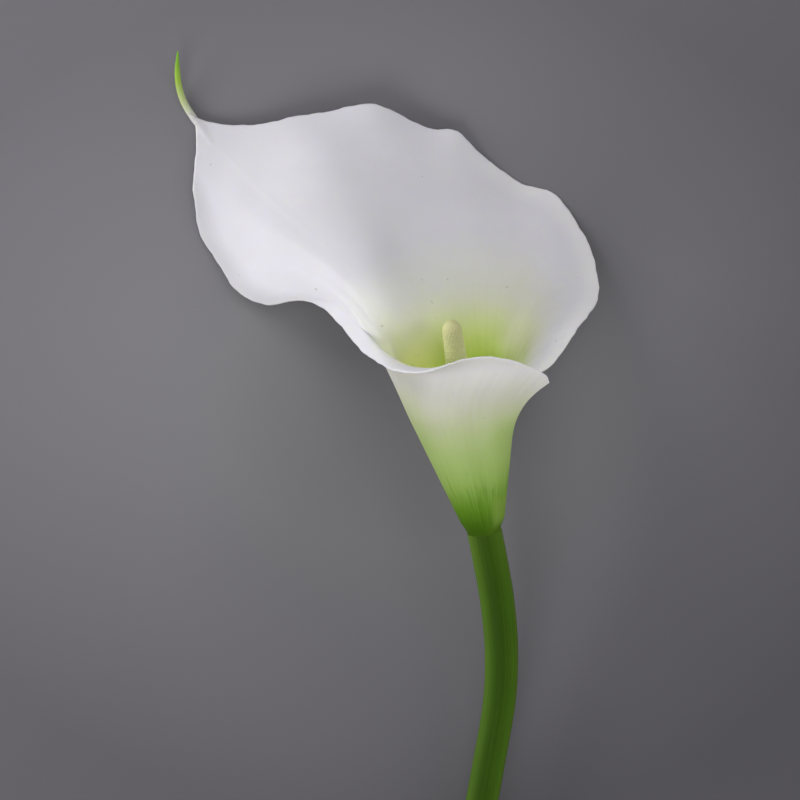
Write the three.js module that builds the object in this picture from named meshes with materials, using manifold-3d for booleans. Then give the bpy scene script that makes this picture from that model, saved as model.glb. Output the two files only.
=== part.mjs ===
// Calla lily: one cut bloom on its stem, laid on its back on a flat surface.
//
// All sizes are millimetres. The flower is built with the middle of the bloom's base at zero:
// +Y runs up the flower to the tail of the spathe, +X to its right, and +Z up from the surface.
// The last section sets the whole flower over the origin, on its lowest points.
//
// The spathe is one sheet. It is rolled into a tube round the spadix, with one margin lapped
// over the other, and opens into a wide limb that ends in a green tail. A column of the sheet
// is a rib that runs straight up the tube to the throat and on, as a Bezier curve, to the rim.
// Directions round the tube are degrees: 0 right, 90 back, 180 left and 270 front.
import * as THREE from 'three';
import { mergeVertices } from 'three/addons/utils/BufferGeometryUtils.js';
import Module from 'manifold-3d';

const wasm = await Module();
wasm.setup();

// ---------- driving dimensions ----------

const LEAN = THREE.MathUtils.degToRad(15); // the tube's rise from the surface
const TURN = THREE.MathUtils.degToRad(10.6); // the tube's turn to the left
const FLOOR = -22.8; // height of the surface below the bloom's base

const TUBE_RADIUS = 4.8; // middle of the sheet, at the base
const TUBE_FLARE = 0.27; // growth of that radius for each mm up the tube
const TUBE_LENGTH = 39.3;
const LAP_DROP = 12; // how much lower the outer margin leaves the tube
const LAP_START = 285; // directions where that drop begins and is full
const LAP_END = 345;
const WRAP_BASE = 1.35; // radial step of one full turn of the roll, at the base
const WRAP_THROAT = 1.5; // and at the throat
const WRAP_MEAN = 180; // direction where the roll has its mean radius
const THICK_TUBE = 1.0;
const THICK_MARGIN = 0.7;

const START_REACH = 0.4; // Bezier handle at the throat, as a share of the chord
const END_REACH = 0.3; // and at the rim
const BROAD_BLUR = 22; // two widths of blur keep the rim's waves near the rim
const FINE_BLUR = 7;
const BLUR_SHARE = 0.35; // of the distance to the nearer margin, which limits a blur's width
const BLUR_LEAST = 0.3;
const BROAD_POWER = 3; // how fast the fine form and the waves fade in toward the rim
const WAVE_POWER = 8;

// A crest runs over the limb, in plan from its top edge down to the left of the throat.
const CREST_TOP = new THREE.Vector2(-57, 124);
const CREST_FOOT = new THREE.Vector2(-22, 50);
const CREST_HEIGHT = 10;
const CREST_WIDTH = 15; // on either side it falls off over about this distance
const CREST_RISE = [0.05, 0.35]; // share of the limb over which it rises from the throat
const CREST_EDGE = [0, 22]; // distance from the rim over which it rises
const CREST_LEFT = [190, 160]; // directions over which it ends on the left
const CREST_END = [0, 24]; // distance before its foot over which it ends
const EVEN_BLUR = 11; // the limb is evened out over this distance
const EVEN_RISE = [0, 0.25]; // share of the limb over which that sets in
const EVEN_EDGE = [2, 16]; // distance from the rim
const EVEN_RIGHT = [0, 30]; // and directions, on the right and on the left
const EVEN_LEFT = [190, 160];

// The sheet swells up where it bends over from the throat's left wall to the margin.
const BEND_MIDDLE = new THREE.Vector2(-26.5, 62.5);
const BEND_LINE = THREE.MathUtils.degToRad(-62); // the swelling's direction in plan
const BEND_HEIGHT = 8;
const BEND_LENGTH = 19; // it falls off over about these distances, along that line and aside
const BEND_WIDTH = 13;

const RIM_COLUMNS = 38; // on each half of the rim
const TUBE_ROWS = 7;
const LIMB_ROWS = 16;
const ROW_BIAS = 1.35; // rows crowd toward the rim
const PRESS_SLACK = 0.001; // share of the thickness within which a point lies on the surface

const STEM_RADII = [5.25, 5.2, 4.95, 5.2];
const STEM_STEPS = [0, 0.1, 0.3, 1]; // shares of the stem's length where it has those radii
const STEM_SINK_POWER = 3; // how soon the stem comes down to the surface
const STEM_RINGS = 44;
const STEM_SIDES = 16;
const NECK_RADIUS = 2.9; // the neck stands inside the tube and carries the spadix
const NECK_LENGTH = 2.5;
const SHOULDER = 0.45; // the shoulder lies this far below the tube's edge

const SPADIX_START = 2.8;
const SPADIX_LENGTH = 66.6;
const SPADIX_RADIUS = 3.1;
const SPADIX_BASE_RADIUS = 2.9;
const SPADIX_SWELL = 12; // length over which the base grows to full radius
const SPADIX_TIP = 3.6; // length of the rounded tip
const SPADIX_CLIP = 0.05; // cut off the tip, which leaves its last ring open
const SPADIX_BEND = 1.4; // sideways bend at the tip
const SPADIX_SIDES = 20;
const SPADIX_RINGS = 46;
const FLORET_RELIEF = 0.2;

const TAIL_SIDES = 10;
const TAIL_RINGS = 18;
const TAIL_RADII = [0.3, 0.8, 1.15, 1.05, 0.98, 0.8, 0.15];

const TAIL_STEP = 0.01; // shares over which the directions of tail and stem are taken
const STEM_STEP = 0.005;
const MERGE_DISTANCE = 1e-5; // points closer than this are one

// ---------- outlines ----------

// Rim of the spathe from the cusp: x, y, z, direction of the rib, and its flare at the rim.
// Flare is 0 along the tube, 90 straight out from it, and more where the margin rolls back.
// Right half: along the top edge, down the right limb and in under the front lap.
const RIGHT_RIM = [
  [-90.0, 127.5, -21.0, 118, 24],
  [-86.9, 125.8, -21.3, 114, 24],
  [-81.4, 124.3, -21.6, 110, 26],
  [-74.4, 123.5, -21.0, 106, 30],
  [-66.6, 124.1, -19.2, 102, 35],
  [-57.4, 125.9, -16.5, 97, 41],
  [-47.9, 127.4, -15.0, 92, 48],
  [-35.7, 129.8, -14.7, 86, 52],
  [-31.4, 129.4, -15.0, 83, 54],
  [-26.3, 127.1, -15.9, 79, 52],
  [-20.2, 123.9, -17.1, 75, 46],
  [-15.0, 122.4, -18.0, 71, 44],
  [-8.2, 122.0, -18.9, 66, 52],
  [-4.5, 118.6, -20.1, 62, 44],
  [1.6, 113.2, -22.1, 57, 36],
  [11.9, 106.1, -24.0, 50, 36],
  [20.1, 104.0, -23.8, 43, 60],
  [23.8, 101.0, -23.0, 39, 70],
  [28.5, 94.5, -21.5, 32, 88],
  [32.5, 86.7, -19.0, 25, 102],
  [34.9, 77.1, -15.0, 15, 110],
  [34.7, 70.8, -11.0, 8, 110],
  [31.8, 65.5, -5.0, 0, 104],
  [28.0, 61.3, 1.0, -7, 92],
  [23.4, 54.6, 9.0, -16, 72],
  [18.7, 49.4, 14.2, -28, 50],
  [10.9, 45.5, 18.0, -44, 32],
  [-0.5, 41.0, 25.6, -62, 8],
];

// Left half: down the left lobe and across the front lip to the outer corner.
const LEFT_RIM = [
  [-90.0, 127.5, -21.0, 118, 24],
  [-88.2, 124.2, -21.9, 124, 30],
  [-87.8, 120.0, -23.1, 128, 38],
  [-88.2, 111.8, -24.3, 135, 50],
  [-88.7, 104.4, -24.3, 141, 62],
  [-88.1, 98.2, -23.1, 146, 72],
  [-86.7, 90.8, -22.0, 151, 82],
  [-80.2, 80.0, -19.5, 159, 98],
  [-75.4, 73.2, -17.0, 164, 108],
  [-70.7, 69.9, -14.5, 167, 116],
  [-65.4, 68.4, -12.0, 170, 120],
  [-57.0, 69.6, -7.5, 175, 122],
  [-51.8, 68.8, -4.0, 178, 122],
  [-47.5, 66.4, 0.0, 182, 120],
  [-43.5, 62.2, 4.0, 186, 118],
  [-39.3, 57.1, 8.0, 191, 114],
  [-35.4, 52.9, 13.5, 197, 112],
  [-31.8, 50.5, 18.6, 203, 112],
  [-28.3, 48.7, 24.6, 209, 112],
  [-24.5, 47.6, 27.6, 217, 110],
  [-19.0, 47.2, 31.2, 228, 106],
  [-10.3, 48.3, 34.8, 250, 80],
  [-6.5, 49.7, 35.7, 260, 60],
  [0.1, 51.8, 35.7, 275, 36],
  [5.9, 51.3, 34.2, 290, 36],
  [11.0, 49.9, 31.8, 304, 42],
  [15.4, 47.9, 28.8, 320, 50],
  [17.7, 46.3, 27.0, 332, 56],
  [18.2, 44.6, 25.2, 345, 60],
];

// Centre line of the tail, from its root inside the sheet to its tip.
const TAIL_LINE = [
  [-82.3, 117.4, -20.4],
  [-85.7, 122.0, -21.0],
  [-88.8, 126.3, -21.3],
  [-91.4, 130.6, -21.0],
  [-92.9, 135.1, -20.1],
  [-93.4, 140.4, -18.6],
  [-93.1, 146.0, -16.5],
];

// Centre line of the stem seen from above, from the bloom to the cut end.
const STEM_LINE = [
  [0.0, 0.0],
  [1.7, -8.2],
  [4.0, -21.3],
  [5.3, -36.0],
  [4.8, -51.3],
  [1.8, -69.8],
  [-2.2, -91.9],
  [-7.7, -122.0],
  [-11.6, -158.8],
  [-13.4, -198.5],
];

// ---------- helpers ----------

const clamp = THREE.MathUtils.clamp;

// Smooth step from 0 at one value to 1 at another, which may be the lower one.
function fade(value, zero, one) {
  const t = clamp((value - zero) / (one - zero), 0, 1);
  return t * t * (3 - 2 * t);
}

const sideways = new THREE.Vector3(Math.cos(TURN), Math.sin(TURN), 0);
const tubeAxis = new THREE.Vector3(
  -Math.sin(TURN) * Math.cos(LEAN),
  Math.cos(TURN) * Math.cos(LEAN),
  Math.sin(LEAN),
);
const frontward = sideways.clone().cross(tubeAxis);

// Unit vector out from the tube's axis in a direction given in degrees.
function outward(degrees) {
  const angle = THREE.MathUtils.degToRad(degrees);
  return sideways.clone().multiplyScalar(Math.cos(angle))
    .addScaledVector(frontward, -Math.sin(angle));
}

// Smooth curve through stations of any number of values, measured along its chords.
function curveThrough(stations) {
  const distances = [0];
  for (let i = 1; i < stations.length; i += 1) {
    const [dx, dy, dz = 0] = stations[i].map((value, k) => value - stations[i - 1][k]);
    distances.push(distances[i - 1] + Math.hypot(dx, dy, dz));
  }
  const last = stations.length - 1;
  const slope = (i, k) => {
    const before = Math.max(i - 1, 0);
    const after = Math.min(i + 1, last);
    return (stations[after][k] - stations[before][k]) / (distances[after] - distances[before]);
  };
  const at = (distance) => {
    const found = distances.findIndex((d, i) => i < last && distance <= distances[i + 1]);
    const i = found < 0 ? last - 1 : found;
    const span = distances[i + 1] - distances[i];
    const t = (distance - distances[i]) / span;
    return stations[i].map((value, k) => (
      value * (2 * t ** 3 - 3 * t ** 2 + 1)
      + stations[i + 1][k] * (3 * t ** 2 - 2 * t ** 3)
      + slope(i, k) * span * (t ** 3 - 2 * t ** 2 + t)
      + slope(i + 1, k) * span * (t ** 3 - t ** 2)
    ));
  };
  return { length: distances[last], at };
}

// Value at t of a line through evenly spaced or given steps.
function interpolate(t, values, steps = values.map((_, i) => i / (values.length - 1))) {
  const i = Math.min(steps.findLastIndex((step) => step <= t), values.length - 2);
  return THREE.MathUtils.mapLinear(t, steps[i], steps[i + 1], values[i], values[i + 1]);
}

// Closed solid from rings of points, with a fan over each end.
function loft(rings) {
  const sides = rings[0].length;
  const middle = (ring) => ring.reduce((sum, p) => sum.add(p), new THREE.Vector3()).divideScalar(sides);
  const points = [...rings.flat(), middle(rings[0]), middle(rings.at(-1))];
  const index = [];
  rings.slice(1).forEach((_, r) => {
    for (let i = 0; i < sides; i += 1) {
      const a = r * sides + i;
      const b = r * sides + ((i + 1) % sides);
      index.push(a, b, b + sides, a, b + sides, a + sides);
    }
  });
  const top = (rings.length - 1) * sides;
  for (let i = 0; i < sides; i += 1) {
    const next = (i + 1) % sides;
    index.push(points.length - 2, next, i);
    index.push(points.length - 1, top + i, top + next);
  }
  return solidGeometry(points, index);
}

function solidGeometry(points, index) {
  const geometry = new THREE.BufferGeometry();
  const flat = points.flatMap((p) => p.toArray());
  geometry.setAttribute('position', new THREE.Float32BufferAttribute(flat, 3));
  geometry.setIndex(index);
  return geometry;
}

// Ring of points round a centre, square to a direction; relief can alter single points.
function ring(centre, direction, radius, sides, relief = () => 0) {
  const across = new THREE.Vector3().crossVectors(direction, new THREE.Vector3(0, 0, 1)).normalize();
  const above = new THREE.Vector3().crossVectors(across, direction).normalize();
  return Array.from({ length: sides }, (_, i) => {
    const angle = (-2 * Math.PI * i) / sides;
    const reach = radius + relief(i);
    return centre.clone()
      .addScaledVector(across, reach * Math.cos(angle))
      .addScaledVector(above, reach * Math.sin(angle));
  });
}

// ---------- spathe ----------

// Columns of the rim, from the inner margin round the cusp to the outer margin.
function rimColumns() {
  const right = curveThrough(RIGHT_RIM);
  const left = curveThrough(LEFT_RIM);
  const columns = [];
  for (let i = RIM_COLUMNS; i > 0; i -= 1) {
    const distance = (right.length * i) / RIM_COLUMNS;
    columns.push({ along: -distance, values: right.at(distance) });
  }
  for (let i = 0; i <= RIM_COLUMNS; i += 1) {
    const distance = (left.length * i) / RIM_COLUMNS;
    columns.push({ along: distance, values: left.at(distance) });
  }
  return columns;
}

// Mean of each column's values with its neighbours', kept true at both ends.
function blurred(columns, width) {
  const first = columns[0].along;
  const last = columns.at(-1).along;
  return columns.map(({ along }) => {
    const nearest = Math.min(along - first, last - along);
    const reach = Math.min(width, BLUR_SHARE * nearest + BLUR_LEAST);
    return weightedMean(columns, along, reach);
  });
}

function weightedMean(columns, along, reach) {
  const mean = columns[0].values.map(() => 0);
  let total = 0;
  columns.forEach((column) => {
    const weight = Math.exp(-0.5 * ((column.along - along) / reach) ** 2);
    total += weight;
    column.values.forEach((value, k) => { mean[k] += weight * value; });
  });
  return mean.map((value) => value / total);
}

// One rib of the sheet: its points up the tube, then over the limb to the rim.
function rib(rim, broad, fine) {
  const direction = fine[3];
  const flare = THREE.MathUtils.degToRad(broad[4]);
  const out = outward(direction);
  const turns = (direction - WRAP_MEAN) / 360;
  const throatHeight = TUBE_LENGTH - LAP_DROP * fade(direction, LAP_START, LAP_END);
  const wrap = THREE.MathUtils.lerp(WRAP_BASE, WRAP_THROAT, throatHeight / TUBE_LENGTH);
  const throatRadius = TUBE_RADIUS + TUBE_FLARE * throatHeight + wrap * turns;
  const base = out.clone().multiplyScalar(TUBE_RADIUS + WRAP_BASE * turns);
  const throat = tubeAxis.clone().multiplyScalar(throatHeight).addScaledVector(out, throatRadius);
  const rising = throat.clone().sub(base).normalize();
  const leaving = tubeAxis.clone().multiplyScalar(Math.cos(flare)).addScaledVector(out, Math.sin(flare));
  const edge = new THREE.Vector3(...rim.slice(0, 3));
  const broadEdge = new THREE.Vector3(...broad.slice(0, 3));
  const fineEdge = new THREE.Vector3(...fine.slice(0, 3));
  const chord = broadEdge.distanceTo(throat);
  const curve = new THREE.CubicBezierCurve3(
    throat,
    throat.clone().addScaledVector(rising, START_REACH * chord),
    broadEdge.clone().addScaledVector(leaving, -END_REACH * chord),
    broadEdge,
  );
  const points = [];
  for (let row = 0; row < TUBE_ROWS; row += 1) {
    points.push(base.clone().lerp(throat, row / TUBE_ROWS));
  }
  for (let row = 0; row <= LIMB_ROWS; row += 1) {
    const t = limbShare(row);
    points.push(curve.getPoint(t)
      .addScaledVector(fineEdge.clone().sub(broadEdge), t ** BROAD_POWER)
      .addScaledVector(edge.clone().sub(fineEdge), t ** WAVE_POWER));
  }
  return points;
}

function limbShare(row) {
  return 1 - (1 - row / LIMB_ROWS) ** ROW_BIAS;
}

// Half of the sheet's thickness in a row.
function halfThickness(row) {
  const limb = row < TUBE_ROWS ? 0 : limbShare(row - TUBE_ROWS);
  return THREE.MathUtils.lerp(THICK_TUBE, THICK_MARGIN, limb) / 2;
}

// Distance of each point from the rim, along its rib.
function distancesToRim(rows) {
  const distances = rows.map((points) => points.map(() => 0));
  for (let r = rows.length - 2; r >= 0; r -= 1) {
    rows[r].forEach((point, c) => {
      distances[r][c] = distances[r + 1][c] + point.distanceTo(rows[r + 1][c]);
    });
  }
  return distances;
}

// Raises the crest over the limb's rows, the first of which is the throat.
function raiseCrest(rows, distances, directions) {
  const line = CREST_FOOT.clone().sub(CREST_TOP).normalize();
  rows.forEach((points, r) => points.forEach((point, c) => {
    const fromFoot = new THREE.Vector2(point.x, point.y).sub(CREST_FOOT);
    const aside = fromFoot.cross(line);
    const share = fade(limbShare(r), ...CREST_RISE) * fade(distances[r][c], ...CREST_EDGE)
      * fade(directions[c], ...CREST_LEFT) * fade(-fromFoot.dot(line), ...CREST_END);
    point.z += CREST_HEIGHT * share * Math.exp(-((aside / CREST_WIDTH) ** 2));
  }));
}

// The limb's rows with each point drawn toward the mean of the sheet round it, but for the lap.
function evened(rows, distances, directions) {
  const areas = crossings(rows).map((points) => points.map((cross) => cross.length()));
  const patches = rows.flatMap((points, r) => points.map((point, c) => [point, areas[r][c]]));
  return rows.map((points, r) => points.map((point, c) => {
    const mean = new THREE.Vector3();
    let total = 0;
    patches.forEach(([other, area]) => {
      const weight = area * Math.exp(-0.5 * point.distanceToSquared(other) / EVEN_BLUR ** 2);
      total += weight;
      mean.addScaledVector(other, weight);
    });
    const share = fade(limbShare(r), ...EVEN_RISE) * fade(distances[r][c], ...EVEN_EDGE)
      * fade(directions[c], ...EVEN_RIGHT) * fade(directions[c], ...EVEN_LEFT);
    return point.clone().lerp(mean.divideScalar(total), share);
  }));
}

// Swells the sheet at its bend, by an amount that only hangs on the place in plan.
function swellBend(rows) {
  rows.flat().forEach((point) => {
    const away = new THREE.Vector2(point.x, point.y).sub(BEND_MIDDLE)
      .rotateAround(new THREE.Vector2(), -BEND_LINE);
    const fall = (away.x / BEND_LENGTH) ** 2 + (away.y / BEND_WIDTH) ** 2;
    point.z += BEND_HEIGHT * Math.exp(-fall);
  });
}

// Middle of the sheet as rows of points, pressed flat where it meets the surface.
function sheet() {
  const columns = rimColumns();
  const broad = blurred(columns, BROAD_BLUR);
  const fine = blurred(columns, FINE_BLUR);
  const ribs = columns.map(({ values }, c) => rib(values, broad[c], fine[c]));
  const raw = ribs[0].map((_, r) => ribs.map((points) => points[r]));
  const limb = raw.slice(TUBE_ROWS);
  const distances = distancesToRim(limb);
  const directions = fine.map((values) => values[3]);
  raiseCrest(limb, distances, directions);
  const rows = [...raw.slice(0, TUBE_ROWS), ...evened(limb, distances, directions)];
  swellBend(rows);
  rows.forEach((points, r) => points.forEach((point) => {
    point.z = Math.max(point.z, FLOOR + halfThickness(r));
  }));
  return rows;
}

// Cross products of the steps across and along a grid of points.
function crossings(rows) {
  return rows.map((points, r) => points.map((_, c) => {
    const across = points[Math.min(c + 1, points.length - 1)].clone().sub(points[Math.max(c - 1, 0)]);
    const along = rows[Math.min(r + 1, rows.length - 1)][c].clone().sub(rows[Math.max(r - 1, 0)][c]);
    return across.cross(along);
  }));
}

// The sheet with its thickness: two like faces and the margin between them.
function sheetSolid() {
  const rows = sheet();
  const normals = crossings(rows).map((points) => points.map((cross) => cross.normalize()));
  const width = rows[0].length;
  const face = (side) => rows.flatMap((points, r) => points.map((point, c) => {
    const half = halfThickness(r);
    const pressed = point.z < FLOOR + (1 + PRESS_SLACK) * half;
    const normal = pressed ? new THREE.Vector3(0, 0, Math.sign(normals[r][c].z)) : normals[r][c];
    const moved = point.clone().addScaledVector(normal, side * half);
    moved.z = Math.max(moved.z, FLOOR);
    return moved;
  }));
  const points = [...face(1), ...face(-1)];
  const other = rows.length * width;
  const index = [];
  for (let r = 0; r < rows.length - 1; r += 1) {
    for (let c = 0; c < width - 1; c += 1) {
      const a = r * width + c;
      const b = a + width;
      index.push(a, a + 1, b + 1, a, b + 1, b);
      index.push(other + a, other + b + 1, other + a + 1, other + a, other + b, other + b + 1);
    }
  }
  const edge = [];
  for (let c = 0; c < width - 1; c += 1) edge.push(c);
  for (let r = 0; r < rows.length - 1; r += 1) edge.push(r * width + width - 1);
  for (let c = width - 1; c > 0; c -= 1) edge.push((rows.length - 1) * width + c);
  for (let r = rows.length - 1; r > 0; r -= 1) edge.push(r * width);
  edge.forEach((a, i) => {
    const b = edge[(i + 1) % edge.length];
    index.push(b, a, other + a, b, other + a, other + b);
  });
  return solidGeometry(points, index);
}

function tailSolid() {
  const line = curveThrough(TAIL_LINE);
  const point = (share) => new THREE.Vector3(...line.at(share * line.length));
  const rings = Array.from({ length: TAIL_RINGS }, (_, i) => {
    const share = i / (TAIL_RINGS - 1);
    const ahead = point(Math.min(share + TAIL_STEP, 1)).sub(point(Math.max(share - TAIL_STEP, 0)));
    return ring(point(share), ahead.normalize(), interpolate(share, TAIL_RADII), TAIL_SIDES);
  });
  return loft(rings);
}

function manifoldOf(geometry) {
  const merged = mergeVertices(geometry, MERGE_DISTANCE);
  return new wasm.Manifold(new wasm.Mesh({
    numProp: 3,
    vertProperties: merged.getAttribute('position').array,
    triVerts: new Uint32Array(merged.index.array),
  }));
}

function joined(first, second) {
  const mesh = manifoldOf(first).add(manifoldOf(second)).getMesh();
  const geometry = new THREE.BufferGeometry();
  geometry.setAttribute('position', new THREE.BufferAttribute(mesh.vertProperties, 3));
  geometry.setIndex(new THREE.BufferAttribute(mesh.triVerts, 1));
  return geometry;
}

// ---------- stem and spadix ----------

function stemSolid() {
  const plan = curveThrough(STEM_LINE);
  const sink = -FLOOR - STEM_RADII.at(-1);
  const start = tubeAxis.clone().multiplyScalar(-SHOULDER);
  const centre = (share) => {
    const [x, y] = plan.at(share * plan.length);
    const z = -sink * (1 - (1 - share) ** STEM_SINK_POWER);
    return new THREE.Vector3(x, y, z).addScaledVector(start, 1 - share);
  };
  const shaft = Array.from({ length: STEM_RINGS }, (_, i) => {
    const share = 1 - i / (STEM_RINGS - 1);
    const behind = centre(Math.max(share - STEM_STEP, 0)).sub(centre(Math.min(share + STEM_STEP, 1)));
    const direction = share === 0 ? tubeAxis : behind.normalize();
    return ring(centre(share), direction, interpolate(share, STEM_RADII, STEM_STEPS), STEM_SIDES);
  });
  const neckTop = tubeAxis.clone().multiplyScalar(NECK_LENGTH);
  return loft([
    ...shaft,
    ring(start, tubeAxis, NECK_RADIUS, STEM_SIDES),
    ring(neckTop, tubeAxis, NECK_RADIUS, STEM_SIDES),
  ]);
}

function spadixSolid() {
  const centre = (height) => tubeAxis.clone().multiplyScalar(height)
    .addScaledVector(new THREE.Vector3(1, 0, 0), SPADIX_BEND * (height / SPADIX_LENGTH) ** 2);
  const rings = Array.from({ length: SPADIX_RINGS }, (_, i) => {
    const height = THREE.MathUtils.lerp(SPADIX_START, SPADIX_LENGTH - SPADIX_CLIP, i / (SPADIX_RINGS - 1));
    const dome = clamp((height - SPADIX_LENGTH + SPADIX_TIP) / SPADIX_TIP, 0, 1);
    const body = THREE.MathUtils.lerp(
      SPADIX_BASE_RADIUS,
      SPADIX_RADIUS,
      fade(height, SPADIX_START, SPADIX_START + SPADIX_SWELL),
    );
    const radius = body * Math.sqrt(1 - dome ** 2);
    const relief = (side) => FLORET_RELIEF * ((side + i) % 2 ? 1 : -1) * (radius / SPADIX_RADIUS);
    return ring(centre(height), tubeAxis, radius, SPADIX_SIDES, relief);
  });
  return loft(rings);
}

// ---------- assembly ----------

function mesh(name, geometry, color, roughness) {
  const material = new THREE.MeshStandardMaterial({ color, roughness, metalness: 0 });
  const part = new THREE.Mesh(geometry, material);
  part.name = name;
  return part;
}

const flower = new THREE.Group();
flower.add(mesh('spathe', joined(sheetSolid(), tailSolid()), 0xe9e7ea, 0.5));
flower.add(mesh('spadix', spadixSolid(), 0xc3bf7c, 0.7));
flower.add(mesh('stem', stemSolid(), 0x3f6a1c, 0.45));

const box = new THREE.Box3().setFromObject(flower);
const middle = box.getCenter(new THREE.Vector3());
flower.position.set(-middle.x, -middle.y, -box.min.z);

const callaLily = new THREE.Group();
callaLily.add(flower);

export default callaLily;
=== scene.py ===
"""Looks of the calla lily: its spathe with the tail, its spadix and its cut stem.

Lengths are millimetres until a mesh is made. The flower is worked out in the same way as its
solids are: zero is the middle of the bloom's base, +Y runs up the flower, +X to its right and
+Z up from the surface. The whole is then set over the box of the frame's spathe.
A point on the spathe has a turn, its direction round the tube in degrees, with 0 right,
90 back, 180 left and 270 front, and a rise, its distance from the base along its rib.
"""
import math

import bpy
import numpy as np
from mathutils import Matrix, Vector


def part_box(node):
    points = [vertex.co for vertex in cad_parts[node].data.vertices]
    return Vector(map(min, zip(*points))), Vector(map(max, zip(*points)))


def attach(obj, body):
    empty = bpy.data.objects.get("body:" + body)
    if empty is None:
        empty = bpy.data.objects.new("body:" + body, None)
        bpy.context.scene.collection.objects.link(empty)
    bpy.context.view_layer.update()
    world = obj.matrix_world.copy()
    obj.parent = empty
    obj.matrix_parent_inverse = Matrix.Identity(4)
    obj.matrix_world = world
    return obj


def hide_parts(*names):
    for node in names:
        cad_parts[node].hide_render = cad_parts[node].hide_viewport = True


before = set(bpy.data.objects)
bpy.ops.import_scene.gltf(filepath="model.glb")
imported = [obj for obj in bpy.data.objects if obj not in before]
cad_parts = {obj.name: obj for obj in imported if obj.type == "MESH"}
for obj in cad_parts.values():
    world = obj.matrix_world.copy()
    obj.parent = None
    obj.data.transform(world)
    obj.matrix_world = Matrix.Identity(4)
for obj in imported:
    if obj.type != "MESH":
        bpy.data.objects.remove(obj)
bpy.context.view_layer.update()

MM = 0.001

# ---------- the flower's measures ----------

# They are the solids' own, but for parts of the rim. Where the solid is pressed flat on the
# surface, the rim here stays a little higher. At the left corner of the front lip it is lower,
# and the middle of the lip stands nearer the tail.

LEAN = math.radians(15)
TURN = math.radians(10.6)
FLOOR = -22.8
TUBE_RADIUS = 4.8
TUBE_FLARE = 0.27
TUBE_LENGTH = 39.3
LAP_DROP = 12
LAP_START = 285
LAP_END = 345
WRAP_BASE = 1.35
WRAP_THROAT = 1.5
WRAP_MEAN = 180
START_REACH = 0.4
END_REACH = 0.3
BROAD_BLUR = 22
FINE_BLUR = 7
BROAD_POWER = 3
WAVE_POWER = 8
ROW_BIAS = 1.35
CREST_TOP = np.array([-57.0, 124.0])
CREST_FOOT = np.array([-22.0, 50.0])
CREST_HEIGHT = 10
CREST_WIDTH = 15
CREST_RISE = (0.05, 0.35)
CREST_EDGE = (0, 22)
CREST_LEFT = (190, 160)
CREST_END = (0, 24)
EVEN_BLUR = 11
EVEN_RISE = (0, 0.25)
EVEN_EDGE = (2, 16)
EVEN_RIGHT = (0, 30)
EVEN_LEFT = (190, 160)
BEND_MIDDLE = np.array([-26.5, 62.5])
BEND_LINE = math.radians(-62)
BEND_HEIGHT = 8
BEND_LENGTH = 19
BEND_WIDTH = 13

# Rim of the spathe from the cusp: x, y, z, turn of the rib, and its flare at the rim.
RIGHT_RIM = [
    [-90.0, 127.5, -21.0, 118, 24], [-86.9, 125.8, -21.3, 114, 24],
    [-81.4, 124.3, -21.6, 110, 26], [-74.4, 123.5, -21.0, 106, 30],
    [-66.6, 124.1, -19.2, 102, 35], [-57.4, 125.9, -16.5, 97, 41],
    [-47.9, 127.4, -15.0, 92, 48], [-35.7, 129.8, -14.7, 86, 52],
    [-31.4, 129.4, -15.0, 83, 54], [-26.3, 127.1, -15.9, 79, 52],
    [-20.2, 123.9, -17.1, 75, 46], [-15.0, 122.4, -18.0, 71, 44],
    [-8.2, 122.0, -18.9, 66, 52], [-4.5, 118.6, -20.1, 62, 44],
    [1.6, 113.2, -21.8, 57, 36], [11.9, 106.1, -22.9, 50, 36],
    [20.1, 104.0, -22.9, 43, 60], [23.8, 101.0, -22.6, 39, 70],
    [28.5, 94.5, -21.5, 32, 88], [32.5, 86.7, -19.0, 25, 102],
    [34.9, 77.1, -15.0, 15, 110], [34.7, 70.8, -11.0, 8, 110],
    [31.8, 65.5, -5.0, 0, 104], [28.0, 61.3, 1.0, -7, 92],
    [23.4, 54.6, 9.0, -16, 72], [18.7, 49.4, 14.2, -28, 50],
    [10.9, 45.5, 18.0, -44, 32], [-0.5, 41.0, 25.6, -62, 8],
]
LEFT_RIM = [
    [-90.0, 127.5, -21.0, 118, 24], [-88.2, 124.2, -21.9, 124, 30],
    [-87.8, 120.0, -22.4, 128, 38], [-88.2, 111.8, -22.8, 135, 50],
    [-88.7, 104.4, -22.8, 141, 62], [-88.1, 98.2, -22.4, 146, 72],
    [-86.7, 90.8, -22.0, 151, 82], [-80.2, 80.0, -19.5, 159, 98],
    [-75.4, 73.2, -17.0, 164, 108], [-70.7, 69.9, -14.5, 167, 116],
    [-65.4, 68.4, -12.0, 170, 120], [-57.0, 69.6, -7.5, 175, 122],
    [-51.8, 68.8, -5.0, 178, 122], [-47.5, 66.5, -2.0, 182, 120],
    [-43.6, 62.3, 2.0, 186, 118], [-39.4, 57.2, 6.0, 191, 114],
    [-35.4, 53.0, 11.5, 197, 112], [-31.8, 50.5, 16.6, 203, 112],
    [-28.3, 48.7, 23.6, 209, 112], [-24.5, 47.6, 27.6, 217, 110],
    [-19.0, 47.4, 31.2, 228, 106], [-10.3, 50.2, 34.8, 250, 80],
    [-6.5, 51.4, 35.7, 260, 60], [0.1, 52.1, 35.7, 275, 36],
    [5.9, 51.3, 34.2, 290, 36], [11.0, 49.9, 31.8, 304, 42],
    [15.4, 47.9, 28.8, 320, 50], [17.7, 46.3, 27.0, 332, 56],
    [18.2, 44.6, 25.2, 345, 60],
]
TAIL_LINE = [
    [-82.3, 117.4, -20.4], [-85.7, 122.0, -21.0], [-88.8, 126.3, -21.3],
    [-91.4, 130.6, -21.0], [-92.9, 135.1, -20.1], [-93.4, 140.4, -18.6],
    [-93.1, 146.0, -16.5],
]
TAIL_RADII = [0.3, 0.8, 1.15, 1.05, 0.98, 0.8, 0.15]
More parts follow.
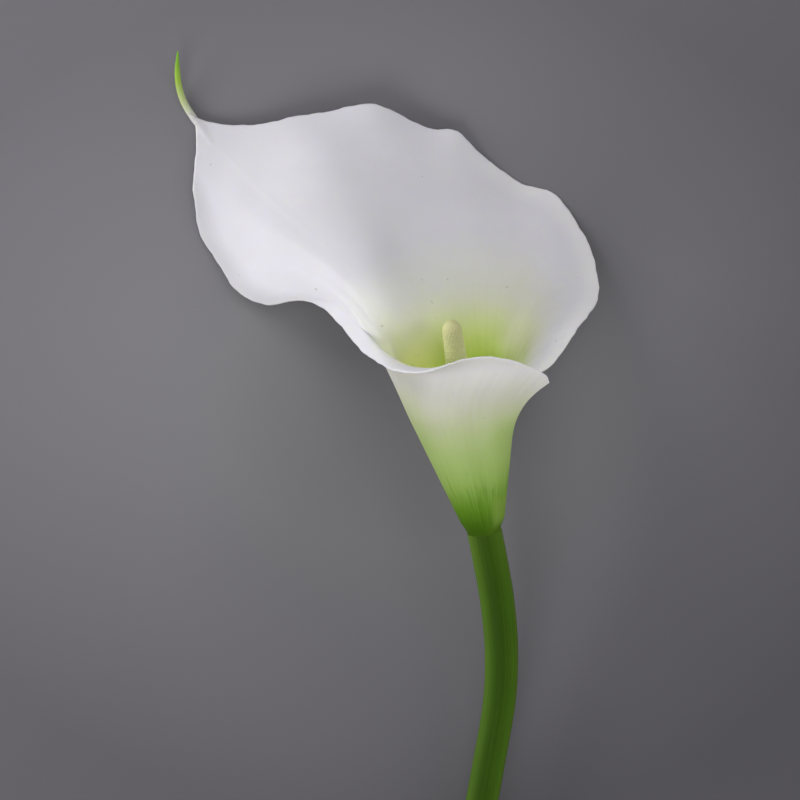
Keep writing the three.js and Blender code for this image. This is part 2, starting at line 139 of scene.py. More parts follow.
STEM_LINE = [
    [0.0, 0.0], [1.7, -8.2], [4.0, -21.3], [5.3, -36.0], [4.8, -51.3],
    [1.8, -69.8], [-2.2, -91.9], [-7.7, -122.0], [-11.6, -158.8], [-13.4, -198.5],
]
STEM_STEPS = [0, 0.1, 0.3, 1]
STEM_RADII = [5.25, 5.2, 4.95, 5.2]
SPADIX_START = 2.8
SPADIX_LENGTH = 66.6
SPADIX_RADIUS = 3.1
SPADIX_BASE_RADIUS = 2.9
SPADIX_SWELL = 12
SPADIX_TIP = 3.6
SPADIX_BEND = 1.4

# ---------- what is finer here than in the solids ----------

TUBE_ROWS = 26
LIMB_ROWS = 84
RIM_GAP = 1.6  # columns stand this far apart at the rim
MARGIN_GAP = (0.12, 0.16)  # gap between columns at a margin, and its growth away from it
CUSP_GAP = (0.5, 0.12)  # the same at the cusp
RIM_SAMPLES = 1200
BLUR_AT_END = (0.3, 0.35)  # width of a blur at a margin, and its growth away from it
EVEN_STRIDE = 3  # every third point of the sheet counts in its means
THICK_TUBE = 1.0
THICK_MARGIN = 0.62
MARGIN_ROUND = 0.75  # the margin is rounded over this width
MARGIN_HALF = 0.05
FLOOR_SOFTNESS = 0.25
PRESSED = (0.5, 0.02)  # clearances under the sheet over which its faces turn level
COVERED = (12, -15)  # turns over which the sheet goes in under its own left margin
FOOT_DEPTH = 1.5  # the spathe's foot reaches this far down into the stem's shoulder
FOOT_RADIUS = 4.8
FOOT_RISE = (5.0, -1.0)  # heights over which the foot eases to its radius
FOOT_THIN_FROM = 5.0
FOOT_THINNING = 0.75
CUSP_BLUR = 4.5
CUSP_EASED = (46, 22)  # from the cusp: eased nowhere beyond the first, wholly within the last
PLEATS = [  # height, count round the tube, phase, drift of the phase along a rib
    (0.05, 9, 1.1, 0), (0.03, 17, 0.4, 0), (0.02, 31, 2.3, 1.5),
]
PLEAT_RISE = (0.15, 0.75)
UNEVEN = [(0.12, 2.9, 0.7), (0.10, 1.3, 2.0), (0.08, 0.74, 0)]  # reach, length, phase
UNEVEN_CUSP = (2, 9)
UNEVEN_EDGE = (7, 0)
TAIL_SIDES = 28
TAIL_RINGS = 72
TAIL_BLUR = 0.05
TAIL_TIP = (0.93, 1.02)  # shares of the tail's length over which its tip rounds off
TAIL_FACTS = {"rise": 130.0, "margin": 3.0, "turn": 118.0, "inner": 1.0}
RIDGE_LENGTH = 0.6  # the sheet swells along this share of the tail's line
RIDGE_SAMPLES = 40
RIDGE_HEIGHT = 0.8
RIDGE_WIDTH = 1.6
STEM_SIDES = 96
STEM_RINGS = 260
STEM_RING_BIAS = 1.15
STEM_LANDING = 3  # the higher, the sooner the stem comes down to the surface
STEM_JOINT = (0.03, 0)  # shares of the stem over which it turns into the tube's axis
STEM_SKIN = 0.08  # the mean skin lies this far within the solid's
STEM_GROOVES = [(0.035, 23, 0.5), (0.03, 37, 1.9), (0.02, 14, 0.2)]  # height, count, phase
STEM_WAVER = (0.05, 9, 2, 1)  # height, angle along the stem, count round it, phase
CAP_SCALES = (0.45, 0.8, 0.97)  # rings on the cut end
SHOULDER = [(0.35, 5.12), (0.75, 4.9), (1.0, 4.4), (1.1, 3.4), (1.1, 1.5)]  # height, radius
ON_SKIN = 2.0  # what the cut attribute says beyond the cut end
SPADIX_SIDES = 168
SPADIX_RINGS = 380
SPADIX_RING_BIAS = 1.12
SPADIX_SHORT = 0.02
SPADIX_TAPER = (30, 50, 66)  # heights over which it thickens, and then narrows
SPADIX_SHARES = (1, 1.09, 0.9)
SPADIX_THINNEST = 0.01
FLORETS_ROUND = 18
FLORET_PITCH = 0.98
FLORET_RELIEF = 0.2
FLORET_TWIST = 0.035
FLORET_ROWS = 0.35
FLORET_PEAK = 1.1
FLORET_POWER = 0.7
FLORET_MIDDLE = 0.6  # share of the relief that lies within the plain column
FLORET_UNEVEN = 0.35
FLORET_PATCHES = (5, 0.9, 3, 1.0)  # count round, climb with it, second count, its phase


# ---------- curves and blurs ----------

def fade(value, zero, one):
    """Eases from 0 to 1 while a value goes from zero to one."""
    t = np.clip((value - zero) / (one - zero), 0, 1)
    return t * t * (3 - 2 * t)


def unit(vectors):
    return vectors / np.linalg.norm(vectors, axis=-1, keepdims=True)


SIDEWAYS = np.array([math.cos(TURN), math.sin(TURN), 0.0])
AXIS = np.array([-math.sin(TURN) * math.cos(LEAN), math.cos(TURN) * math.cos(LEAN),
                 math.sin(LEAN)])
FRONTWARD = np.cross(SIDEWAYS, AXIS)


def outward(turns):
    """Directions out of the tube's axis at these turns."""
    angle = np.radians(np.asarray(turns, float))[..., None]
    return np.cos(angle) * SIDEWAYS - np.sin(angle) * FRONTWARD


class Curve:
    """Smooth curve through stations of any number of values, measured along its chords."""

    def __init__(self, stations):
        self.stations = np.array(stations, float)
        steps = np.linalg.norm(np.diff(self.stations[:, :3], axis=0), axis=1)
        self.places = np.concatenate([[0], np.cumsum(steps)])
        count = len(self.stations)
        before = np.maximum(np.arange(count) - 1, 0)
        after = np.minimum(np.arange(count) + 1, count - 1)
        rise = self.stations[after] - self.stations[before]
        self.slopes = rise / (self.places[after] - self.places[before])[:, None]
        self.length = self.places[-1]

    def at(self, distance):
        distance = np.asarray(distance, float)
        i = np.clip(np.searchsorted(self.places, distance) - 1, 0, len(self.places) - 2)
        span = (self.places[i + 1] - self.places[i])[..., None]
        t = (distance - self.places[i])[..., None] / span
        return (self.stations[i] * (2 * t ** 3 - 3 * t ** 2 + 1)
                + self.stations[i + 1] * (3 * t ** 2 - 2 * t ** 3)
                + self.slopes[i] * span * (t ** 3 - 2 * t ** 2 + t)
                + self.slopes[i + 1] * span * (t ** 3 - t ** 2))


RIGHT = Curve(RIGHT_RIM)
LEFT = Curve(LEFT_RIM)
CUSP = np.array(RIGHT_RIM[0][:3])


def rim_at(along):
    """Values of the rim at distances from the cusp, below 0 on its right half."""
    along = np.asarray(along, float)
    right = RIGHT.at(np.clip(-along, 0, RIGHT.length))
    left = LEFT.at(np.clip(along, 0, LEFT.length))
    return np.where((along < 0)[:, None], right, left)


def blurred(along, width):
    """Rim values averaged with their neighbours', kept true at both ends."""
    ground = np.linspace(-RIGHT.length, LEFT.length, RIM_SAMPLES)
    values = rim_at(ground)
    nearest = np.minimum(along + RIGHT.length, LEFT.length - along)
    reach = np.minimum(width, BLUR_AT_END[1] * nearest + BLUR_AT_END[0])
    weights = np.exp(-0.5 * ((ground[None, :] - along[:, None]) / reach[:, None]) ** 2)
    return weights @ values / weights.sum(axis=1, keepdims=True)


def rim_columns():
    """Places of the columns along the rim, closer near the two margins and the cusp."""
    places = [-RIGHT.length]
    while places[-1] < LEFT.length:
        here = places[-1]
        gap = min(RIM_GAP,
                  MARGIN_GAP[0] + MARGIN_GAP[1] * (here + RIGHT.length),
                  MARGIN_GAP[0] + MARGIN_GAP[1] * max(LEFT.length - here, 0),
                  CUSP_GAP[0] + CUSP_GAP[1] * abs(here))
        places.append(here + gap)
    places = np.array(places)
    share = (places - places[0]) / (places[-1] - places[0])
    return share * (LEFT.length + RIGHT.length) - RIGHT.length


# ---------- spathe ----------

def tube_rows(turns, throat_heights, throat_radii):
    """Rows up the tube, from a foot that eases into the stem's shoulder."""
    steps = (turns - WRAP_MEAN) / 360
    base_radii = TUBE_RADIUS + WRAP_BASE * steps
    shares = np.linspace(-FOOT_DEPTH / TUBE_LENGTH, 1, TUBE_ROWS + 1)[:-1, None]
    heights = shares * throat_heights
    radii = base_radii * (1 - shares) + throat_radii * shares
    foot_radii = FOOT_RADIUS + fade(turns, *COVERED) * (base_radii - FOOT_RADIUS)
    footing = fade(heights, *FOOT_RISE)
    radii = radii + footing * (foot_radii - radii)
    return heights[..., None] * AXIS + radii[..., None] * outward(turns)


def limb_rows(along, fine, broad, turns, throats, bases):
    """Rows over the limb, from the throat to the rim."""
    flare = np.radians(broad[:, 4])[:, None]
    rising = unit(throats - bases)
    leaving = np.cos(flare) * AXIS + np.sin(flare) * outward(turns)
    edges = rim_at(along)[:, :3]
    broad_edges = broad[:, :3]
    chords = np.linalg.norm(broad_edges - throats, axis=1)[:, None]
    second = throats + START_REACH * chords * rising
    third = broad_edges - END_REACH * chords * leaving
    t = limb_shares()[:, None, None]
    curve = ((1 - t) ** 3 * throats + 3 * t * (1 - t) ** 2 * second
             + 3 * t ** 2 * (1 - t) * third + t ** 3 * broad_edges)
    curve = curve + t ** BROAD_POWER * (fine[:, :3] - broad_edges)
    curve = curve + t ** WAVE_POWER * (edges - fine[:, :3])
    rise = lengths_along(curve, 0)
    to_rim = rise[-1] - rise
    return evened(with_crest(curve, turns, to_rim), turns, to_rim)


def limb_shares():
    return 1 - (1 - np.linspace(0, 1, LIMB_ROWS + 1)) ** ROW_BIAS


def with_crest(rows, turns, to_rim):
    """Raises the crest that runs over the limb, from its top edge to the left of the throat."""
    line = unit(CREST_FOOT - CREST_TOP)
    from_foot = rows[..., :2] - CREST_FOOT
    aside = from_foot[..., 0] * line[1] - from_foot[..., 1] * line[0]
    share = fade(limb_shares(), *CREST_RISE)[:, None] * fade(to_rim, *CREST_EDGE)
    share = share * fade(turns, *CREST_LEFT) * fade(-from_foot @ line, *CREST_END)
    rows[..., 2] += CREST_HEIGHT * share * np.exp(-(aside / CREST_WIDTH) ** 2)
    return rows


def evened(rows, turns, to_rim):
    """Draws each point of the limb toward the mean of the sheet round it, but for the lap."""
    patches = np.linalg.norm(np.cross(np.gradient(rows, axis=1), np.gradient(rows, axis=0)),
                             axis=-1)
    patches[:, [0, -1]] /= 2
    patches[[0, -1]] /= 2
    picked = (slice(None, None, EVEN_STRIDE), slice(None, None, EVEN_STRIDE))
    others, areas = rows[picked].reshape(-1, 3), patches[picked].ravel()
    means = np.empty_like(rows)
    for row, points in enumerate(rows):
        squares = ((points[:, None] - others) ** 2).sum(axis=-1)
        weights = areas * np.exp(-0.5 * squares / EVEN_BLUR ** 2)
        means[row] = weights @ others / weights.sum(axis=1, keepdims=True)
    share = fade(limb_shares(), *EVEN_RISE)[:, None] * fade(to_rim, *EVEN_EDGE)
    share = share * fade(turns, *EVEN_RIGHT) * fade(turns, *EVEN_LEFT)
    return rows + share[..., None] * (means - rows)


def with_bend(rows):
    """Swells the sheet where it bends over from the throat's left wall to the margin."""
    line = np.array([math.cos(BEND_LINE), math.sin(BEND_LINE)])
    away = rows[..., :2] - BEND_MIDDLE
    along = away @ line
    aside = away[..., 0] * line[1] - away[..., 1] * line[0]
    rows[..., 2] += BEND_HEIGHT * np.exp(-(along / BEND_LENGTH) ** 2
                                         - (aside / BEND_WIDTH) ** 2)
    return rows


def eased_at_cusp(grid):
    """Softens the fold that the two margins' ribs make where they meet at the cusp."""
    away = np.linalg.norm(grid[..., :2] - CUSP[:2], axis=-1)
    near = away < CUSP_EASED[0]
    points = grid[near]
    patches = np.linalg.norm(np.cross(np.gradient(grid, axis=1), np.gradient(grid, axis=0)),
                             axis=-1)[near]
    squares = ((points[:, None, :2] - points[:, :2]) ** 2).sum(axis=-1)
    weights = patches * np.exp(-0.5 * squares / CUSP_BLUR ** 2)
    means = weights @ points[:, 2] / weights.sum(axis=1)
    grid[near, 2] += fade(away[near], *CUSP_EASED) * (means - points[:, 2])
    return grid


def lengths_along(grid, axis):
    """How far each point of a grid lies from the grid's start, along one of its axes."""
    steps = np.linalg.norm(np.diff(grid, axis=axis), axis=-1)
    total = np.cumsum(steps, axis=axis)
    start = np.zeros_like(np.take(total, [0], axis=axis))
    return np.concatenate([start, total], axis=axis)


def grid_normals(grid):
    normals = np.cross(np.gradient(grid, axis=1), np.gradient(grid, axis=0))
    return unit(normals)


def smooth_floor(z, half):
    """Lifts what would sink into the surface until its underside only rests on it."""
    over = (z - FLOOR - half) / FLOOR_SOFTNESS
    return FLOOR + half + FLOOR_SOFTNESS * np.logaddexp(0, over)


def spathe_sheet():
    """Middle of the sheet, its half thickness and what the material reads at each point."""
    along = rim_columns()
    broad = blurred(along, BROAD_BLUR)
    fine = blurred(along, FINE_BLUR)
    turns = fine[:, 3]
    steps = (turns - WRAP_MEAN) / 360
    throat_heights = TUBE_LENGTH - LAP_DROP * fade(turns, LAP_START, LAP_END)
    wrap = WRAP_BASE + (WRAP_THROAT - WRAP_BASE) * throat_heights / TUBE_LENGTH
    throat_radii = TUBE_RADIUS + TUBE_FLARE * throat_heights + wrap * steps
    out = outward(turns)
    bases = (TUBE_RADIUS + WRAP_BASE * steps)[:, None] * out
    throats = throat_heights[:, None] * AXIS + throat_radii[:, None] * out
    tube = tube_rows(turns, throat_heights, throat_radii)
    limb = limb_rows(along, fine, broad, turns, throats, bases)
    grid = eased_at_cusp(with_bend(np.concatenate([tube, limb])))

    rise = lengths_along(grid, 0) - FOOT_DEPTH
    to_rim = rise[-1] - rise
    across = lengths_along(grid, 1)
    to_margin = np.minimum(np.minimum(across, across[:, -1:] - across), to_rim)
    t = np.concatenate([np.zeros(len(tube)), limb_shares()])[:, None]

    grid = undulated(grid, along, turns, t, to_rim)
    half = (THICK_TUBE + (THICK_MARGIN - THICK_TUBE) * t) / 2 + 0 * rise
    half = half * (1 - FOOT_THINNING * fade(rise, FOOT_THIN_FROM, -FOOT_DEPTH))
    half = ridged(grid, half)
    rounding = np.sqrt(1 - (1 - np.clip(to_margin / MARGIN_ROUND, 0, 1)) ** 2)
    half = half * rounding + MARGIN_HALF
    grid[..., 2] = smooth_floor(grid[..., 2], half)
    facts = {
        "rise": rise,
        "margin": to_margin,
        "turn": turns + 0 * rise,
        "tip": -np.linalg.norm(grid - CUSP, axis=-1),
    }
    return grid, half, facts


def undulated(grid, along, turns, t, to_rim):
    """Soft pleats along the ribs, and a margin that is not quite even."""
    normals = grid_normals(grid)
    angle = np.radians(turns)
    pleats = sum(height * np.sin(count * angle + phase + drift * t)
                 for height, count, phase, drift in PLEATS)
    pleats = pleats * fade(t, *PLEAT_RISE)
    grid = grid + pleats[..., None] * normals
    uneven = sum(reach * np.sin(along / length + phase) for reach, length, phase in UNEVEN)
    uneven = uneven * fade(np.abs(along), *UNEVEN_CUSP) * fade(to_rim, *UNEVEN_EDGE)
    ribs = unit(np.gradient(grid, axis=0))
    return grid + uneven[..., None] * ribs


def tail_radius(share):
    return np.interp(share, np.linspace(0, 1, len(TAIL_RADII)), TAIL_RADII)


def ridged(grid, half):
    """Swells the sheet where the tail grows out of it."""
    line = Curve(TAIL_LINE)
    shares = np.linspace(0, RIDGE_LENGTH, RIDGE_SAMPLES)
    points = line.at(shares * line.length)
    gaps = np.linalg.norm(grid[..., None, :] - points, axis=-1)
    nearest = gaps.argmin(axis=-1)
    gap = gaps.min(axis=-1)
    radius = tail_radius(shares)[nearest]
    return half + RIDGE_HEIGHT * radius * np.exp(-(gap / (RIDGE_WIDTH * radius)) ** 2)


def sheet_faces(rows, columns):
    """Faces of a closed sheet: its outer grid, its inner grid and the band round both."""
    corner = (np.arange(rows - 1)[:, None] * columns + np.arange(columns - 1)).ravel()
    steps = np.array([0, 1, columns + 1, columns])
    other = rows * columns
    outer = corner[:, None] + steps
    inner = other + corner[:, None] + steps[[0, 3, 2, 1]]
    bottom = np.arange(columns - 1)
    right = np.arange(rows - 1) * columns + columns - 1
    top = (rows - 1) * columns + np.arange(columns - 1, 0, -1)
    left = np.arange(rows - 1, 0, -1) * columns
    ring = np.concatenate([bottom, right, top, left])
    after = np.roll(ring, -1)
    band = np.stack([after, ring, other + ring, other + after], 1)
    return np.concatenate([outer, inner, band]).tolist()


def spathe_mesh():
    """The sheet with both its faces, and the tail that grows out of it."""
    grid, half, facts = spathe_sheet()
    normals = grid_normals(grid)
    pressed = fade(grid[..., 2] - half - FLOOR, *PRESSED)[..., None]
    upright = np.zeros_like(normals)
    upright[..., 2] = np.sign(normals[..., 2])
    normals = unit(normals + pressed * (upright - normals))
    sides = np.stack([grid + half[..., None] * normals, grid - half[..., None] * normals])
    sides[..., 2] = np.maximum(sides[..., 2], FLOOR)
    points = sides.reshape(-1, 3)

    tail_points, tail_faces, tail_places = tail_mesh()
    faces = sheet_faces(*half.shape)
    faces += [[i + len(points) for i in face] for face in tail_faces]
    values = {name: np.tile(value.ravel(), 2) for name, value in facts.items()}
    values["inner"] = np.repeat([0.0, 1.0], half.size)
    for name, value in TAIL_FACTS.items():
        values[name] = np.concatenate([values[name], np.full(len(tail_points), value)])
    values["tip"] = np.concatenate([values["tip"], tail_places])
    return np.concatenate([points, tail_points]), faces, values


def loft(rings):
    """Closed solid from rings of points, with a fan over each end."""
    count, sides = rings.shape[:2]
    points = np.concatenate([rings.reshape(-1, 3), [rings[0].mean(0)], [rings[-1].mean(0)]])
    first_end, last_end = count * sides, count * sides + 1
    last_ring = (count - 1) * sides
    faces = []
    for start in range(0, last_ring, sides):
        for i in range(sides):
            here, beside = start + i, start + (i + 1) % sides
            faces.append([here, beside, beside + sides, here + sides])
    for i in range(sides):
        following = (i + 1) % sides
        faces.append([first_end, following, i])
        faces.append([last_end, last_ring + i, last_ring + following])
    return points, faces


def rings_round(centres, directions, radii, sides):
    """Rings of points round centres, square to directions; radii may differ round a ring."""
    across = unit(np.cross(directions, [0.0, 0.0, 1.0]))
    above = unit(np.cross(across, directions))
    angle = -2 * np.pi * np.arange(sides) / sides
    radii = np.broadcast_to(np.asarray(radii, float), (len(centres), sides))
    return (centres[:, None]
            + (radii * np.cos(angle))[..., None] * across[:, None]
            + (radii * np.sin(angle))[..., None] * above[:, None])


def tail_mesh():
    """The tail, and how far each of its points lies past the cusp."""
    line = Curve(TAIL_LINE)
    shares = np.linspace(0, 1, TAIL_RINGS)
    centres = line.at(shares * line.length)
    radii = tail_radius(shares)
    blur = np.exp(-0.5 * ((shares[:, None] - shares) / TAIL_BLUR) ** 2)
    radii = blur @ radii / blur.sum(axis=1)
    radii = radii * np.sqrt(1 - fade(shares, *TAIL_TIP) ** 2)
    directions = unit(np.gradient(centres, axis=0))
    points, faces = loft(rings_round(centres, directions, radii[:, None], TAIL_SIDES))
    start = line.length * shares[np.linalg.norm(centres - CUSP, axis=1).argmin()]
    places = np.repeat(shares * line.length - start, TAIL_SIDES)
    return points, faces, np.concatenate([places, [-start], [line.length - start]])


# ---------- stem ----------

def stem_rings(plan, shares):
    """Rings from the cut end up to the tube, lying on the surface at the cut end."""
    sink = -FLOOR - STEM_RADII[-1]
    depth = -sink * (1 - (1 - shares) ** STEM_LANDING)
    centres = np.column_stack([plan.at(shares * plan.length), depth])
    directions = unit(np.gradient(centres, axis=0))
    directions = unit(directions + fade(shares, *STEM_JOINT)[:, None] * (AXIS - directions))
    angle = 2 * np.pi * np.arange(STEM_SIDES) / STEM_SIDES
    grooves = sum(height * np.sin(count * angle + phase)
                  for height, count, phase in STEM_GROOVES)
    reach, along, count, phase = STEM_WAVER
    waver = reach * np.sin(along * shares + phase)[:, None] * np.sin(count * angle + phase)
    radii = np.interp(shares, STEM_STEPS, STEM_RADII)[:, None] - STEM_SKIN + grooves + waver
    rings = rings_round(centres, directions, radii, STEM_SIDES)
    rings[..., 2] = np.maximum(rings[..., 2], FLOOR)
    return rings


def stem_mesh():
    """The stem with its cut end and the rounded shoulder inside the spathe's foot."""
    plan = Curve(STEM_LINE)
    shares = np.linspace(1, 0, STEM_RINGS) ** STEM_RING_BIAS
    rings = stem_rings(plan, shares)
    middle = rings[0].mean(0)
    caps = [middle + scale * (rings[0] - middle) for scale in CAP_SCALES]
    shoulder = [rings_round((height * AXIS)[None], AXIS[None], radius, STEM_SIDES)[0]
                for height, radius in SHOULDER]
    points, faces = loft(np.concatenate([caps, rings, shoulder]))

    heights = [height for height, radius in SHOULDER]
    down = np.concatenate([np.full(len(caps), plan.length), shares * plan.length,
                           -np.array(heights)])
    cut = np.concatenate([CAP_SCALES, np.full(len(rings) + len(shoulder), ON_SKIN)])
    values = {
        "down": np.concatenate([np.repeat(down, STEM_SIDES), [plan.length, -heights[-1]]]),
        "cut": np.concatenate([np.repeat(cut, STEM_SIDES), [0.0, ON_SKIN]]),
        "round": np.concatenate([np.tile(np.arange(STEM_SIDES) / STEM_SIDES, len(down)),
                                 [0.0, 0.0]]),
    }
    return points, faces, values


# ---------- spadix ----------

def spadix_radii(heights):
    """Radius of the plain column, with its domed tip."""
    dome = np.clip((heights - SPADIX_LENGTH + SPADIX_TIP) / SPADIX_TIP, 0, 1)
    swell = fade(heights, SPADIX_START, SPADIX_START + SPADIX_SWELL)
    body = SPADIX_BASE_RADIUS + (SPADIX_RADIUS - SPADIX_BASE_RADIUS) * swell
    body = body * np.interp(heights, SPADIX_TAPER, SPADIX_SHARES)
    return body * np.sqrt(1 - dome ** 2)


def florets_over(surface):
    """How high the florets stand, from 0 to 1, and how unequal they are, up the surface."""
    angle = 2 * np.pi * np.arange(SPADIX_SIDES) / SPADIX_SIDES
    climb = (np.pi * surface / FLORET_PITCH)[:, None]
    twist = angle + FLORET_TWIST * surface[:, None]
    wave = np.cos(FLORETS_ROUND * twist) * np.cos(climb) + FLORET_ROWS * np.cos(2 * climb)
    florets = np.clip(0.5 + 0.5 * wave / FLORET_PEAK, 0, 1)
    count, lean, other_count, phase = FLORET_PATCHES
    patches = FLORET_UNEVEN * np.sin(count * twist + lean * climb)
    return florets, 1 + patches * np.sin(other_count * twist + phase)


def spadix_mesh():
    """The column of florets, bent a little to the right."""
    top = SPADIX_LENGTH - SPADIX_SHORT
    down = np.linspace(1, 0, SPADIX_RINGS) ** SPADIX_RING_BIAS
    heights = top - (SPADIX_LENGTH - SPADIX_START) * down
    bend = SPADIX_BEND * (heights / SPADIX_LENGTH) ** 2
    centres = heights[:, None] * AXIS + bend[:, None] * np.array([1.0, 0, 0])
    radii = spadix_radii(heights)
    surface = lengths_along(np.column_stack([heights, radii, 0 * radii]), 0)
    florets, uneven = florets_over(surface)
    relief = (FLORET_RELIEF * (radii / SPADIX_RADIUS)[:, None]
              * (florets ** FLORET_POWER * uneven - FLORET_MIDDLE))
    rings = rings_round(centres, np.repeat(AXIS[None], len(heights), 0),
                        np.maximum(radii[:, None] + relief, SPADIX_THINNEST), SPADIX_SIDES)
    points, faces = loft(rings)
    values = {
        "floret": np.concatenate([florets.ravel(), [0.5, 0.5]]),
        "height": np.concatenate([np.repeat(heights, SPADIX_SIDES), heights[[0, -1]]]),
    }
    return points, faces, values


# ---------- materials ----------

class Graph:
    """A material's nodes, with short names for the ones that the surfaces need."""

    def __init__(self, name):
        self.material = bpy.data.materials.new(name)
        self.material.use_nodes = True
        self.nodes = self.material.node_tree.nodes
        self.links = self.material.node_tree.links
        self.shader = self.nodes["Principled BSDF"]
        self.attributes = {}

    def feed(self, socket, value):
        if isinstance(value, bpy.types.NodeSocket):
            self.links.new(value, socket)
        else:
            socket.default_value = value

    def attribute(self, name):
        if name not in self.attributes:
            node = self.nodes.new("ShaderNodeAttribute")
            node.attribute_name = name
            self.attributes[name] = node.outputs["Fac"]
        return self.attributes[name]

    def math(self, operation, first, second=0.0):
        node = self.nodes.new("ShaderNodeMath")
        node.operation = operation
        self.feed(node.inputs[0], first)
        self.feed(node.inputs[1], second)
        return node.outputs[0]

    def times(self, first, *others):
        for other in others:
            first = self.math("MULTIPLY", first, other)
        return first

    def plus(self, first, second):
        return self.math("ADD", first, second)

    def minus(self, first, second):
        return self.math("SUBTRACT", first, second)

    def field(self, strength, *limits):
        """A strength, times the eased shares of attributes; limits are (name, zero, one)."""
        return self.times(strength, *(self.share(self.attribute(name), zero, one)
                                      for name, zero, one in limits))

    def share(self, value, zero, one):
        """Eases from 0 to 1 while a value goes from zero to one."""
        node = self.nodes.new("ShaderNodeMapRange")
        node.interpolation_type = "SMOOTHSTEP"
        self.feed(node.inputs["Value"], value)
        node.inputs["From Min"].default_value = zero
        node.inputs["From Max"].default_value = one
        return node.outputs["Result"]

    def ramp(self, value, low, high, stops):
        """Colours over a range of a value; stops are (value, colour)."""
        scaled = self.math("DIVIDE", self.minus(value, low), high - low)
        node = self.nodes.new("ShaderNodeValToRGB")
        self.feed(node.inputs["Fac"], scaled)
        elements = node.color_ramp.elements
        while len(elements) < len(stops):
            elements.new(0.5)
        for element, (place, colour) in zip(elements, stops):
            element.position = (place - low) / (high - low)
            element.color = (*colour, 1)
        return node.outputs["Color"]

    def mix(self, share, first, second, blend="MIX"):
        node = self.nodes.new("ShaderNodeMix")
        node.data_type = "RGBA"
        node.blend_type = blend
        self.feed(node.inputs["Factor"], share)
        colour_inputs = [s for s in node.inputs if s.type == "RGBA"]
        for socket, value in zip(colour_inputs, (first, second)):
            if isinstance(value, tuple):
                value = (*value, 1)
            self.feed(socket, value)
        return [s for s in node.outputs if s.type == "RGBA"][0]

    def vector(self, x, y, z=0.0):
        node = self.nodes.new("ShaderNodeCombineXYZ")
        for socket, value in zip(node.inputs, (x, y, z)):
            self.feed(socket, value)
        return node.outputs[0]

    def place(self):
        return self.nodes.new("ShaderNodeTexCoord").outputs["Object"]

    def noise(self, vector, scale, detail, roughness=0.5):
        node = self.nodes.new("ShaderNodeTexNoise")
        self.feed(node.inputs["Vector"], vector)
        node.inputs["Scale"].default_value = scale
        node.inputs["Detail"].default_value = detail
        node.inputs["Roughness"].default_value = roughness
        return node.outputs[0]

    def clouds(self, scale, detail):
        return self.noise(self.place(), scale, detail)

    def streaks(self, across, along, scales, detail, roughness):
        """Noise over two values, drawn out along the one with the smaller scale."""
        place = self.vector(self.times(across, scales[0]), self.times(along, scales[1]))
        return self.noise(place, 1.0, detail, roughness)

    def distance(self, east, north):
        return self.math("SQRT", self.plus(self.times(east, east), self.times(north, north)))

    def bump(self, height, distance, strength):
        node = self.nodes.new("ShaderNodeBump")
        node.inputs["Strength"].default_value = strength
        node.inputs["Distance"].default_value = distance
        self.feed(node.inputs["Height"], height)
        self.feed(self.shader.inputs["Normal"], node.outputs[0])

    def finish(self, colour, **sockets):
        self.feed(self.shader.inputs["Base Color"], colour)
        for name, value in sockets.items():
            self.feed(self.shader.inputs[name.replace("_", " ")], value)
        return self.material


BLACK = (0.0, 0.0, 0.0)
WHITE = (0.775, 0.765, 0.805)

# Ramps are the range of a value, and colours at some of its values.
OUTSIDE_RAMP = (0, 60, [
    (0, (0.066, 0.138, 0.008)), (5, (0.092, 0.20, 0.012)), (11, (0.17, 0.33, 0.028)),
    (20, (0.35, 0.52, 0.12)), (30, (0.46, 0.60, 0.21)), (37, (0.56, 0.65, 0.32)),
    (43, (0.64, 0.67, 0.46)), (49, (0.71, 0.70, 0.62)), (58, (0.86, 0.835, 0.83)),
])
# Both inside ramps are the throat's own green with painted light in them. The left one is
# brightened as painted light shining through the sheet, and the right one is darkened as
# painted shade.
INSIDE_LEFT_LIT_RAMP = (0, 90, [
    (0, (0.40, 0.55, 0.04)), (30, (0.66, 0.90, 0.08)), (48, (0.84, 0.99, 0.18)),
    (56, (0.91, 0.99, 0.39)), (62, (0.93, 0.99, 0.57)), (67, (0.90, 0.94, 0.67)),
    (74, (0.85, 0.86, 0.78)), (90, WHITE),
])
INSIDE_RIGHT_SHADED_RAMP = (0, 90, [
    (0, (0.26, 0.35, 0.025)), (30, (0.32, 0.45, 0.03)), (44, (0.37, 0.49, 0.05)),
    (52, (0.46, 0.55, 0.17)), (58, (0.60, 0.63, 0.36)), (64, (0.68, 0.70, 0.47)),
    (72, (0.74, 0.74, 0.64)), (90, (0.79, 0.775, 0.80)),
])
TAIL_BEFORE = 10  # the tail's colours start this far before the cusp
TAIL_RAMP = (0, 40, [
    (0, WHITE), (8, (0.64, 0.64, 0.60)), (14, (0.50, 0.56, 0.28)), (20, (0.36, 0.52, 0.07)),
    (30, (0.14, 0.39, 0.005)),
])
TONE_RAMP = (0, 1, [(0.3, (0.95, 0.95, 0.95)), (0.7, (1.0, 1.0, 1.0))])
VEIN_RAMP = (0, 1, [(0.35, (0.95, 0.96, 0.93)), (0.6, (1.0, 1.0, 1.0))])
STROKE_GREEN = (0.13, 0.30, 0.015)
LAP_GREEN = (0.26, 0.40, 0.075)
# painted shade over the lit left side of the foot
FOOT_SHADE_TINT = (0.76, 0.82, 0.55)
VIVID_TINT = (0.84, 0.93, 0.62)
GLOW = (0.96, 1.0, 0.78)
# painted highlight along the rolled right margin, whiter than the sheet's own white
RIGHT_MARGIN_HIGHLIGHT = (0.86, 0.85, 0.85)
SPECK_BROWN = (0.25, 0.2, 0.15)

# Streaks are their scales over turn and rise, detail and roughness.
VEINS = ((0.35, 0.03), 3, 0.6)
STROKES = ((0.16, 0.09), 2, 0.5)
STROKE_EDGE = (0.52, 0.66)

